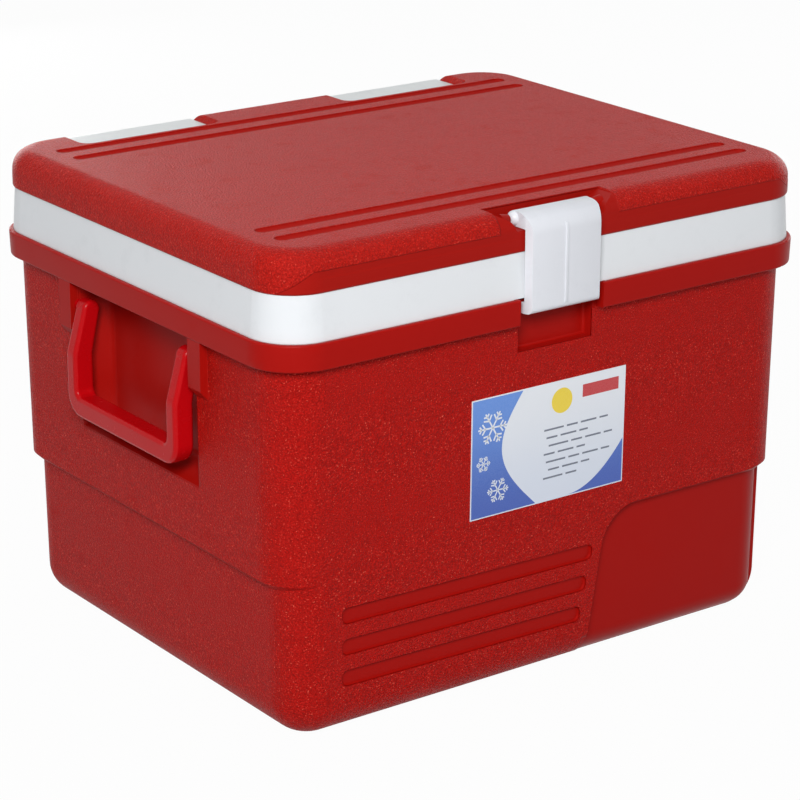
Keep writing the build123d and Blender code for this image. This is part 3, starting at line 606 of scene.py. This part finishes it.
def make_latch():
    """Lever, lugs and rib of the latch in one piece."""
    shape = bmesh.new()
    seat_z = LATCH_AXIS.z - BARREL_RADIUS
    outline = [
        (LATCH_AXIS.y, LEVER_TOP_Z),
        (LEVER_FRONT_Y, LEVER_TOP_Z),
        (LEVER_FRONT_Y, latch_low.z),
        (HOOK_Y, latch_low.z),
        (HOOK_Y, HOOK_Z),
        (FLANK_Y, HOOK_Z + HOOK_STEP),
        (FLANK_Y, seat_z),
        (LATCH_AXIS.y, seat_z),
    ]
    side = shape.faces.new([shape.verts.new((-LEVER_HALF_WIDTH, y, z)) for y, z in outline])
    far = verts_of(bmesh.ops.extrude_face_region(shape, geom=[side])["geom"])
    bmesh.ops.translate(shape, verts=far, vec=(2 * LEVER_HALF_WIDTH, 0, 0))
    bmesh.ops.recalc_face_normals(shape, faces=shape.faces)
    open_back = [face for face in shape.faces if face.normal.y > FACING]
    level = [face for face in shape.faces if abs(face.normal.z) > FACING]
    open_ledges = [
        face
        for face in level
        if not any(near(face.calc_center_median().z, height) for height in (latch_low.z, LEVER_TOP_Z))
    ]
    bmesh.ops.delete(shape, geom=open_back + open_ledges, context="FACES")
    bend = edges_where(shape, lambda co: near(co.y, LEVER_FRONT_Y) and near(co.z, LEVER_TOP_Z))
    bevel_edges(shape, bend, BEND_RADIUS, segments=10)
    foot = edges_where(shape, lambda co: near(co.y, LEVER_FRONT_Y) and near(co.z, latch_low.z))
    bevel_edges(shape, foot, FOOT_RADIUS, segments=5)
    rims = [
        edge
        for edge in shape.edges
        if len(edge.link_faces) == 2
        and near(edge.verts[0].co.x, edge.verts[1].co.x)
        and near(abs(edge.verts[0].co.x), LEVER_HALF_WIDTH)
    ]
    bmesh.ops.bisect_plane(
        shape, geom=everything_of(shape), dist=JOIN, plane_co=(0, FLANK_Y, 0), plane_no=(0, 1, 0)
    )
    bevel_edges(shape, [edge for edge in rims if edge.is_valid], RIM_RADIUS, segments=3)
    for vert in shape.verts:
        forward = max(0.0, FLANK_Y - vert.co.y) / (FLANK_Y - LEVER_FRONT_Y)
        vert.co.x *= 1 - forward * LEVER_DRAFT / LEVER_HALF_WIDTH
    bmesh.ops.recalc_face_normals(shape, faces=shape.faces)
    bmesh.ops.solidify(shape, geom=shape.faces[:], thickness=LEVER_WALL)
    raise_rib(shape)
    lugs = bmesh.ops.create_cone(
        shape,
        cap_ends=True,
        segments=36,
        radius1=BARREL_RADIUS,
        radius2=BARREL_RADIUS,
        depth=latch_high.x - latch_low.x,
        matrix=Matrix.Translation(LATCH_AXIS) @ Matrix.Rotation(math.radians(90), 4, "Y"),
    )["verts"]
    ends = [edge for edge in edges_at(lugs) if near(edge.verts[0].co.x, edge.verts[1].co.x)]
    bevel_edges(shape, ends, LUG_DOME, segments=7)
    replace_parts(finish_piece("latch_lever", shape, "white_latch", "latch"), "latch")


def raise_rib(shape):
    """Raises a narrow rib from the front face of the lever."""
    facing = [face for face in shape.faces if face.normal.y < -FACING]
    front = [face for face in facing if near(face.calc_center_median().x, 0.0)]
    region = dict.fromkeys(item for face in front for item in (face, *face.edges, *face.verts))
    cuts = [((x, 0, 0), (1, 0, 0)) for x in (-RIB_HALF_WIDTH, RIB_HALF_WIDTH)]
    cuts += [((0, 0, z), (0, 0, 1)) for z in (RIB_LOW_Z, RIB_HIGH_Z)]
    for place, normal in cuts:
        region = bmesh.ops.bisect_plane(
            shape, geom=list(region), dist=JOIN, plane_co=place, plane_no=normal
        )["geom"]
    strip = []
    for face in faces_of(region):
        middle = face.calc_center_median()
        if abs(middle.x) < RIB_HALF_WIDTH and RIB_LOW_Z < middle.z < RIB_HIGH_Z:
            strip.append(face)
    grown = bmesh.ops.extrude_face_region(shape, geom=strip)["geom"]
    bmesh.ops.delete(shape, geom=strip, context="FACES_KEEP_BOUNDARY")
    bmesh.ops.translate(shape, verts=verts_of(grown), vec=(0, -RIB_HEIGHT, 0))
    crest = faces_of(grown)
    rim = [edge for face in crest for edge in face.edges if sum(f in crest for f in edge.link_faces) == 1]
    bevel_edges(shape, rim, RIB_HEIGHT / 2, segments=2)


def make_latch_bosses():
    """Short tapered bosses on the flanks of the notch, round the ends of the latch's pin."""
    shape = bmesh.new()
    for side in (-1, 1):
        turn = Matrix.Rotation(math.radians(90 * side), 4, "Y")
        place = Matrix.Translation(LATCH_AXIS + Vector((side * (BOSS_TIP_X + BOSS_LENGTH / 2), 0, 0)))
        boss = bmesh.ops.create_cone(
            shape,
            cap_ends=True,
            segments=32,
            radius1=BOSS_TIP_RADIUS,
            radius2=BOSS_ROOT_RADIUS,
            depth=BOSS_LENGTH,
            matrix=place @ turn,
        )["verts"]
        tip = [vert for vert in boss if near(abs(vert.co.x), BOSS_TIP_X)]
        rim = [edge for edge in edges_at(tip) if all(vert in tip for vert in edge.verts)]
        bevel_edges(shape, rim, BOSS_ROUNDING, segments=3)
    finish_piece("latch_bosses", shape, "lid_red", "lid")


# ---- Louvres ----
# Long grooves in the front of the body, open to their full height
LOUVRE_COUNT = 3
LOUVRE_LEFT_X = -0.1640
LOUVRE_RIGHT_X = 0.0370
# Middle height of the top groove, and how much shorter each groove is than the one above it
LOUVRE_FIRST_Z = 0.0797
LOUVRE_PITCH = 0.0212
LOUVRE_SHORTENING = 0.0044
LOUVRE_HEIGHT = 0.0114
LOUVRE_CORNER = 0.0045
LOUVRE_TURN = math.radians(1.0)
# Thickness of the cutting block, and how far it reaches behind the wall's face
BLOCK_DEPTH = 0.0040
BLOCK_REACH = 0.00006


def wall_y(height):
    """Front face of the body's wall at a height."""
    return WALL_TOP_Y + (RIM_BOTTOM - height) * WALL_SLOPE


def louvre_openings():
    """Blocks that reach from outside through the mouth of each groove."""
    shape = bmesh.new()
    for index in range(LOUVRE_COUNT):
        height = LOUVRE_FIRST_Z - index * LOUVRE_PITCH
        right_x = LOUVRE_RIGHT_X - index * LOUVRE_SHORTENING
        middle_y = wall_y(height) + BLOCK_REACH - BLOCK_DEPTH / 2
        place = Vector(((LOUVRE_LEFT_X + right_x) / 2, middle_y, height))
        size = Matrix.Diagonal((right_x - LOUVRE_LEFT_X, BLOCK_DEPTH, LOUVRE_HEIGHT, 1.0))
        turn = Matrix.Translation(place) @ Matrix.Rotation(LOUVRE_TURN, 4, "Y")
        block = bmesh.ops.create_cube(shape, size=1.0, matrix=turn @ size)["verts"]
        along_y = [edge for edge in edges_at(block) if not near(edge.verts[0].co.y, edge.verts[1].co.y)]
        bevel_edges(shape, along_y, LOUVRE_CORNER, segments=8)
    return shape


def cut_away(shape, tool):
    """A shape with a tool's space cut from it, as a new bmesh. Both are used up."""
    made = []
    for name, part in (("blank", shape), ("tool", tool)):
        mesh = bpy.data.meshes.new(name)
        part.to_mesh(mesh)
        part.free()
        made.append(bpy.data.objects.new(name, mesh))
        bpy.context.scene.collection.objects.link(made[-1])
    cut = made[0].modifiers.new("cut", "BOOLEAN")
    cut.operation = "DIFFERENCE"
    cut.solver = "EXACT"
    cut.object = made[1]
    result = bmesh.new()
    result.from_object(made[0], bpy.context.evaluated_depsgraph_get())
    for item in made:
        bpy.data.meshes.remove(item.data)
    return result


def make_open_shell():
    """The body's shell with the mouths of its louvres cut clear."""
    shell = bmesh.new()
    shell.from_mesh(nodes["body_shell"].data)
    bmesh.ops.remove_doubles(shell, verts=shell.verts, dist=JOIN)
    shape = cut_away(shell, louvre_openings())
    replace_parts(finish_piece("moulded_shell", shape, "body_red", "body"), "body_shell")


# ---- Screws ----
# Pan heads with a cross recess, in place of the plain heads of the hinges' screws
SCREW_SPACING = 0.0832
HEAD_RADIUS = 0.0032
HEAD_HEIGHT = 0.0016
HEAD_SIDES = 24
# Cells across the grid from which a head is cut, and half the length of the cross in such cells
HEAD_CELLS = 12
RECESS_HALF_LENGTH = 4
RECESS_DEPTH = 0.6 * HEAD_HEIGHT
# Share of the head's height that its edge drops, and the taper of the recess and the shank
HEAD_DROP = 0.45
RECESS_TAPER = 0.72
SHANK_RADIUS = 0.0016
SHANK_TAPER = 0.6


def add_screw(shape, place, shank_length):
    """One screw that faces the back, with its seat at a place."""
    cell = 2 * HEAD_RADIUS / HEAD_CELLS
    head = bmesh.new()
    bmesh.ops.create_grid(head, x_segments=HEAD_CELLS, y_segments=HEAD_CELLS, size=HEAD_RADIUS)
    for step in range(HEAD_SIDES):
        outward = Matrix.Rotation(math.radians(360 * step / HEAD_SIDES), 3, "Z") @ Vector((1, 0, 0))
        bmesh.ops.bisect_plane(
            head,
            geom=everything_of(head),
            dist=JOIN,
            plane_co=outward * HEAD_RADIUS,
            plane_no=outward,
            clear_outer=True,
        )
    top = bmesh.ops.extrude_face_region(head, geom=head.faces[:])["geom"]
    for vert in verts_of(top):
        vert.co.z = HEAD_HEIGHT * (1 - HEAD_DROP * (vert.co.xy.length / HEAD_RADIUS) ** 3)
    cross = []
    for face in faces_of(top):
        across, along = sorted(abs(value) for value in face.calc_center_median().xy)
        if across < cell and along < RECESS_HALF_LENGTH * cell:
            cross.append(face)
    sunk = verts_of(bmesh.ops.extrude_face_region(head, geom=cross)["geom"])
    bmesh.ops.delete(head, geom=cross, context="FACES_KEEP_BOUNDARY")
    bmesh.ops.translate(head, verts=sunk, vec=(0, 0, -RECESS_DEPTH))
    bmesh.ops.scale(head, verts=sunk, vec=(RECESS_TAPER, RECESS_TAPER, 1.0))
    bmesh.ops.create_cone(
        head,
        cap_ends=True,
        segments=HEAD_SIDES,
        radius1=SHANK_RADIUS * SHANK_TAPER,
        radius2=SHANK_RADIUS,
        depth=shank_length,
        matrix=Matrix.Translation((0, 0, -shank_length / 2)),
    )
    to_back = Matrix.Translation(place) @ Matrix.Rotation(math.radians(-90), 4, "X")
    bmesh.ops.transform(head, verts=head.verts, matrix=to_back)
    mesh = bpy.data.meshes.new("screw")
    head.to_mesh(mesh)
    head.free()
    shape.from_mesh(mesh)
    bpy.data.meshes.remove(mesh)


def make_screws(name, node, body):
    """The four screws of a row, two for each hinge."""
    low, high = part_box(node)
    outer_x = high.x - HEAD_RADIUS
    seat_y = high.y - HEAD_HEIGHT
    shape = bmesh.new()
    for side in (-1, 1):
        for x in (outer_x, outer_x - SCREW_SPACING):
            add_screw(shape, Vector((side * x, seat_y, (low.z + high.z) / 2)), seat_y - low.y)
    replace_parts(finish_piece(name, shape, "plated_steel", body), node)


make_latch()
make_latch_bosses()
make_open_shell()
make_screws("base_screws", "hinge_base_screws", "body")
make_screws("leaf_screws", "hinge_leaf_screws", "lid")

# ---- Label prints ----
# The label leans with the wall, so a print's place is found on its front face
LABEL_CENTRE = (label_low + label_high) / 2
LABEL_HALF_WIDTH = (label_high.x - label_low.x) / 2
LABEL_HALF_HEIGHT = (label_high.z - label_low.z) / 2
FILM_THICKNESS = 0.00025
LABEL_LEAN = (label_high.y - label_low.y - FILM_THICKNESS) / (label_high.z - label_low.z)
# How proud a print stands, and its thickness as a share of that, so that its back clears the film
PRINT_PROUD = 0.00004
PRINT_BODY = 0.8

# Bare margin of the label, and the four sides of the printed area
LABEL_MARGIN = 0.0008
PRINT_LEFT = -LABEL_HALF_WIDTH + LABEL_MARGIN
PRINT_RIGHT = LABEL_HALF_WIDTH - LABEL_MARGIN
PRINT_LOW = -LABEL_HALF_HEIGHT + LABEL_MARGIN
PRINT_HIGH = LABEL_HALF_HEIGHT - LABEL_MARGIN

# Blue field down the left, narrower at the top, with a hollow in its right edge
FIELD_FOOT = 0.052
FIELD_TOP = 0.040
FIELD_HOLLOW = 0.022
FIELD_STEPS = 24
# Blue corner at the lower right, under a falling curve
CORNER_WIDTH = 0.046
CORNER_HEIGHT = 0.030
CORNER_STEPS = 16
# Rows of dashes, like lines of print too small to read
DASH_ROWS = 7
DASH_PITCH = 0.0055
DASH_LENGTHS = (0.016, 0.009, 0.013, 0.007)
DASH_WIDTH = 0.0012
DASH_GAP = 0.0026
DASH_LEFT = PRINT_RIGHT - 0.066
DASH_TOP = PRINT_HIGH - 0.031
DASH_INDENT = 0.002
DASH_MARGIN = 0.004
# Row from which the rows end sooner and sooner, clear of the corner
SHORT_ROWS_FROM = 5


def on_label(across, up, proud):
    """Point of the label's front face, from its centre."""
    z = LABEL_CENTRE.z + up
    y = label_low.y + (label_high.z - z) * LABEL_LEAN - proud
    return Vector((LABEL_CENTRE.x + across, y, z))


def flat_print(name, outlines, finish, proud=PRINT_PROUD):
    """Thin printed shapes on the label, each given as an outline round its own edge."""
    shape = bmesh.new()
    for outline in outlines:
        face = shape.faces.new([shape.verts.new(on_label(across, up, proud)) for across, up in outline])
        back = verts_of(bmesh.ops.extrude_face_region(shape, geom=[face])["geom"])
        bmesh.ops.translate(shape, verts=back, vec=(0, proud * PRINT_BODY, 0))
    finish_piece(name, shape, finish, "body")


def disc_outline(centre, radius, count=48):
    """Points of a circle."""
    turns = [math.radians(360 * step / count) for step in range(count)]
    return [(centre[0] + radius * math.cos(turn), centre[1] + radius * math.sin(turn)) for turn in turns]


def bar_outline(centre, length, width, turn=0.0):
    """Corners of a bar turned about its centre."""
    turned = Matrix.Rotation(math.radians(turn), 2)
    x = length / 2
    y = width / 2
    corners = [(-x, -y), (x, -y), (x, y), (-x, y)]
    return [tuple(turned @ Vector(corner) + Vector(centre)) for corner in corners]


def snow_crystal(centre, radius, width):
    """Bars of a six-armed snow crystal with two pairs of twigs on each arm."""
    bars = []
    for turn in range(0, 360, 60):
        along = Vector((math.cos(math.radians(turn)), math.sin(math.radians(turn))))
        bars.append(bar_outline(Vector(centre) + along * radius / 2, radius, width, turn))
        for share, twig in ((0.5, 0.38), (0.76, 0.24)):
            for side in (-55, 55):
                lean = math.radians(turn + side)
                tip = Vector((math.cos(lean), math.sin(lean))) * radius * twig
                root = Vector(centre) + along * radius * share
                bars.append(bar_outline(root + tip / 2, tip.length, width, turn + side))
    return bars


def field_outline():
    """Outline of the blue field."""
    outline = [(PRINT_LEFT, PRINT_LOW), (PRINT_LEFT + FIELD_FOOT, PRINT_LOW)]
    for step in range(1, FIELD_STEPS):
        share = step / FIELD_STEPS
        hollow = FIELD_HOLLOW * math.sin(math.pi * share)
        across = PRINT_LEFT + FIELD_FOOT - hollow - (FIELD_FOOT - FIELD_TOP) * share
        outline.append((across, PRINT_LOW + (PRINT_HIGH - PRINT_LOW) * share))
    return outline + [(PRINT_LEFT + FIELD_TOP, PRINT_HIGH), (PRINT_LEFT, PRINT_HIGH)]


def corner_outline():
    """Outline of the blue corner."""
    outline = [(PRINT_RIGHT, PRINT_LOW), (PRINT_RIGHT, PRINT_LOW + CORNER_HEIGHT)]
    for step in range(1, CORNER_STEPS + 1):
        share = step / CORNER_STEPS
        outline.append((PRINT_RIGHT - CORNER_WIDTH * share, PRINT_LOW + CORNER_HEIGHT * (1 - share) ** 2))
    return outline


def dash_outlines():
    """Outlines of the dashes, row by row."""
    dashes = []
    for row in range(DASH_ROWS):
        start = DASH_LEFT + DASH_INDENT * (row % 3)
        shortened = row if row >= SHORT_ROWS_FROM else 0
        end = PRINT_RIGHT - DASH_MARGIN * (1 + shortened)
        for length in DASH_LENGTHS[row % 2 :]:
            if start + length < end:
                centre = (start + length / 2, DASH_TOP - DASH_PITCH * row)
                dashes.append(bar_outline(centre, length, DASH_WIDTH))
            start += length + DASH_GAP
    return dashes


def make_label_prints():
    """A cold-store design: a blue field with snow crystals, a sun disc, a red bar and rows of dashes."""
    flat_print("label_field", [field_outline()], "label_blue")
    flat_print("label_corner", [corner_outline()], "label_blue")
    crystals = snow_crystal((PRINT_LEFT + 0.016, PRINT_HIGH - 0.020), radius=0.0115, width=0.0011)
    crystals += snow_crystal((PRINT_LEFT + 0.021, PRINT_LOW + 0.016), radius=0.0085, width=0.0009)
    crystals += snow_crystal((PRINT_LEFT + 0.009, PRINT_LOW + 0.036), radius=0.0055, width=0.0007)
    flat_print("label_crystals", crystals, "label_white", proud=2 * PRINT_PROUD)
    sun = disc_outline((PRINT_RIGHT - 0.052, PRINT_HIGH - 0.013), radius=0.0085)
    flat_print("label_sun", [sun], "label_yellow")
    bar = bar_outline((PRINT_RIGHT - 0.020, PRINT_HIGH - 0.010), length=0.030, width=0.0085)
    flat_print("label_bar", [bar], "label_red")
    flat_print("label_dashes", dash_outlines(), "label_grey")


make_label_prints()

# ---- Studio ----
CAMERA_PLACE = Vector((-1.0896, -1.5002, 0.7856))
CAMERA_YAW = 36.03
CAMERA_PITCH = -19.09
CAMERA_ROLL = 0.08
SENSOR_WIDTH = 36.0
LENS = 128.2
FLOOR_HALF_SIZE = 8.0
FLOOR_GREY = (0.55, 0.55, 0.55, 1.0)
# How white the floor looks to the camera. The rest is its own grey, which keeps the shadow
FLOOR_WHITENESS = 0.97
BACKDROP_COLOUR = (0.94, 0.97, 1.0, 1.0)
BACKDROP_STRENGTH = 0.18

# Each soft lamp's place, width and height in metres, and its watts
LAMP_AIM = Vector((0.0, 0.0, 0.18))
LAMPS = {
    "key": ((-1.45, -1.75, 1.55), 0.8, 0.8, 56.0),
    "top": ((-0.10, 0.50, 1.90), 1.4, 1.0, 5.0),
    "right": ((1.90, 0.55, 0.42), 1.2, 0.7, 9.0),
    "back": ((0.30, 1.95, 0.36), 1.0, 0.5, 10.0),
    "fill": ((1.60, -1.30, 0.80), 1.2, 1.2, 2.0),
}


def place_camera():
    """Camera with a long lens that looks down a little at the near corner."""
    data = bpy.data.cameras.new("camera")
    data.sensor_width = SENSOR_WIDTH
    data.lens = LENS
    camera = bpy.data.objects.new("camera", data)
    yaw = Matrix.Rotation(math.radians(-CAMERA_YAW), 4, "Z")
    pitch = Matrix.Rotation(math.radians(90 + CAMERA_PITCH), 4, "X")
    roll = Matrix.Rotation(math.radians(CAMERA_ROLL), 4, "Z")
    camera.matrix_world = Matrix.Translation(CAMERA_PLACE) @ (yaw @ pitch) @ roll
    bpy.context.scene.collection.objects.link(camera)
    bpy.context.scene.camera = camera


def soft_lamp(name, place, width, height, power):
    """A rectangular soft lamp that faces the middle of the object."""
    data = bpy.data.lights.new(name, "AREA")
    data.shape = "RECTANGLE"
    data.size = width
    data.size_y = height
    data.energy = power
    lamp = bpy.data.objects.new(name, data)
    turn = (LAMP_AIM - Vector(place)).to_track_quat("-Z", "Y").to_matrix().to_4x4()
    lamp.matrix_world = Matrix.Translation(place) @ turn
    bpy.context.scene.collection.objects.link(lamp)


def seen_share(tree, share):
    """share for rays from the camera, a mirror or glass, and 0 for the others."""
    path = tree.nodes.new("ShaderNodeLightPath").outputs
    seen = calculate(tree, "ADD", path["Is Camera Ray"], path["Is Glossy Ray"], clamp=True)
    seen = calculate(tree, "ADD", seen, path["Is Transmission Ray"], clamp=True)
    return calculate(tree, "MULTIPLY", seen, share)


def white_when_seen(tree, plain, white_kind, output_kind, share):
    """Mixes a shader with white for the rays that show it, and links it to the output."""
    white = add_node(tree, white_kind, {"Color": WHITE, "Strength": 1.0})
    inputs = {0: seen_share(tree, share), 1: plain.outputs[0], 2: white.outputs[0]}
    mixed = add_node(tree, "ShaderNodeMixShader", inputs)
    output = tree.nodes.new(output_kind)
    tree.links.new(mixed.outputs[0], output.inputs["Surface"])


def make_floor():
    """Pale floor that keeps a faint shadow."""
    shape = bmesh.new()
    bmesh.ops.create_grid(shape, x_segments=2, y_segments=2, size=FLOOR_HALF_SIZE)
    mesh = bpy.data.meshes.new("floor")
    shape.to_mesh(mesh)
    shape.free()
    material = bpy.data.materials.new("floor")
    material.use_nodes = True
    tree = material.node_tree
    tree.nodes.clear()
    matt = add_node(tree, "ShaderNodeBsdfDiffuse", {"Color": FLOOR_GREY})
    white_when_seen(tree, matt, "ShaderNodeEmission", "ShaderNodeOutputMaterial", FLOOR_WHITENESS)
    mesh.materials.append(material)
    floor = bpy.data.objects.new("floor", mesh)
    bpy.context.scene.collection.objects.link(floor)


def make_world():
    """White backdrop that lights the object only a little."""
    world = bpy.data.worlds.new("studio")
    world.use_nodes = True
    bpy.context.scene.world = world
    tree = world.node_tree
    tree.nodes.clear()
    inputs = {"Color": BACKDROP_COLOUR, "Strength": BACKDROP_STRENGTH}
    faint = add_node(tree, "ShaderNodeBackground", inputs)
    white_when_seen(tree, faint, "ShaderNodeBackground", "ShaderNodeOutputWorld", share=1.0)


place_camera()
make_floor()
make_world()
for name, (place, width, height, power) in LAMPS.items():
    soft_lamp(name, place, width, height, power)
bpy.context.scene.view_settings.view_transform = "Standard"
